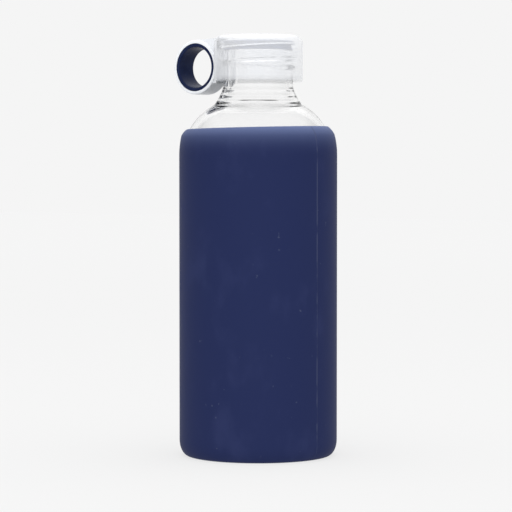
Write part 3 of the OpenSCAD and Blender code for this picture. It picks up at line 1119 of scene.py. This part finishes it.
def surround():
    """A world that is white before and behind the camera, darker aside and brightest above."""
    world = bpy.data.worlds.new("studio")
    world.use_nodes = True
    tree = world.node_tree
    direction = tree.nodes.new("ShaderNodeTexCoord").outputs["Generated"]
    ahead = tree.nodes.new("ShaderNodeVectorMath")
    ahead.operation = "DOT_PRODUCT"
    tree.links.new(direction, ahead.inputs[0])
    ahead.inputs[1].default_value = looking
    backdrop = remap(tree, math_node(tree, "ABSOLUTE", ahead.outputs["Value"]), *BACKDROP)
    split = tree.nodes.new("ShaderNodeSeparateXYZ")
    tree.links.new(direction, split.inputs[0])
    dome = remap(tree, split.outputs["Z"], *DOME)
    around = mix_colours(tree, backdrop, grey(SIDES), grey(WHITE))
    light = mix_colours(tree, dome, around, grey(CEILING_LIGHT))
    tree.links.new(light, tree.nodes["Background"].inputs["Color"])
    bpy.context.scene.world = world
    print(world.name, len(tree.nodes), "nodes")


surround()

# %% [markdown]
# The floor is a large plane. A matt floor would show a horizon and a wide shadow, which the white
# tent hides, so this one mostly glows by itself and takes only a share of real light and shadow.
# Its glow fades into the backdrop's white with the distance. It lies a hair under the bottle, so
# that their faces don't fight.

# %% Floor
FLOOR_SIZE = 8
FLOOR_DROP = 0.05
FLOOR_GLOW = 0.896
FLOOR_FADE = (0.3, 3.0)
FLOOR_MATT_SHARE = 0.22
FLOOR_MATT = 0.73


def studio_floor():
    """A floor that glows, with a small share of matt grey for the shadow."""
    bpy.ops.mesh.primitive_plane_add(size=FLOOR_SIZE, location=(0, 0, -FLOOR_DROP * MM))
    floor = bpy.context.object
    floor.name = "studio_floor"
    material = bpy.data.materials.new("studio_floor")
    material.use_nodes = True
    tree = material.node_tree
    tree.nodes.remove(tree.nodes["Principled BSDF"])
    distance = tree.nodes.new("ShaderNodeVectorMath")
    distance.operation = "LENGTH"
    tree.links.new(tree.nodes.new("ShaderNodeTexCoord").outputs["Object"], distance.inputs[0])
    away = remap(tree, distance.outputs["Value"], *FLOOR_FADE)
    glow = tree.nodes.new("ShaderNodeEmission")
    tree.links.new(mix_colours(tree, away, grey(FLOOR_GLOW), grey(WHITE)), glow.inputs["Color"])
    matt = tree.nodes.new("ShaderNodeBsdfDiffuse")
    matt.inputs["Color"].default_value = grey(FLOOR_MATT)
    mix = tree.nodes.new("ShaderNodeMixShader")
    mix.inputs["Fac"].default_value = FLOOR_MATT_SHARE
    tree.links.new(glow.outputs[0], mix.inputs[1])
    tree.links.new(matt.outputs[0], mix.inputs[2])
    tree.links.new(mix.outputs[0], tree.nodes["Material Output"].inputs["Surface"])
    floor.data.materials.append(material)
    print(floor.name, FLOOR_SIZE, "m wide")


studio_floor()

# %% [markdown]
# Three soft lights shape the matt pieces: one overhead for the shoulder, a large one behind the
# camera, and a weak one on the loop's side. Glass would mirror them as hard white patches, so they
# are hidden from gloss and from what is seen through glass.

# %% Soft lights
LIT_POINT = Vector((0, 0, 0.1))


def softbox(name, size, watts, place):
    """A square soft light of a size in metres, which faces the bottle."""
    light = bpy.data.objects.new(name, bpy.data.lights.new(name, "AREA"))
    bpy.context.scene.collection.objects.link(light)
    light.data.size = size
    light.data.energy = watts
    light.location = place
    light.visible_glossy = False
    light.visible_transmission = False
    light.rotation_euler = (LIT_POINT - light.location).to_track_quat("-Z", "Y").to_euler()
    print(name, watts, "W")


up = Vector((0, 0, 1))
softbox("overhead", size=0.7, watts=1.2, place=Vector((0.05, 0.05, 1.0)))
softbox("front", size=1.0, watts=7.0, place=-looking * 1.5 + up * 0.3)
softbox("side", size=1.0, watts=0.5, place=-rightwards * 1.3 - looking * 0.5 + up * 0.2)
bpy.context.scene.view_settings.view_transform = "Standard"
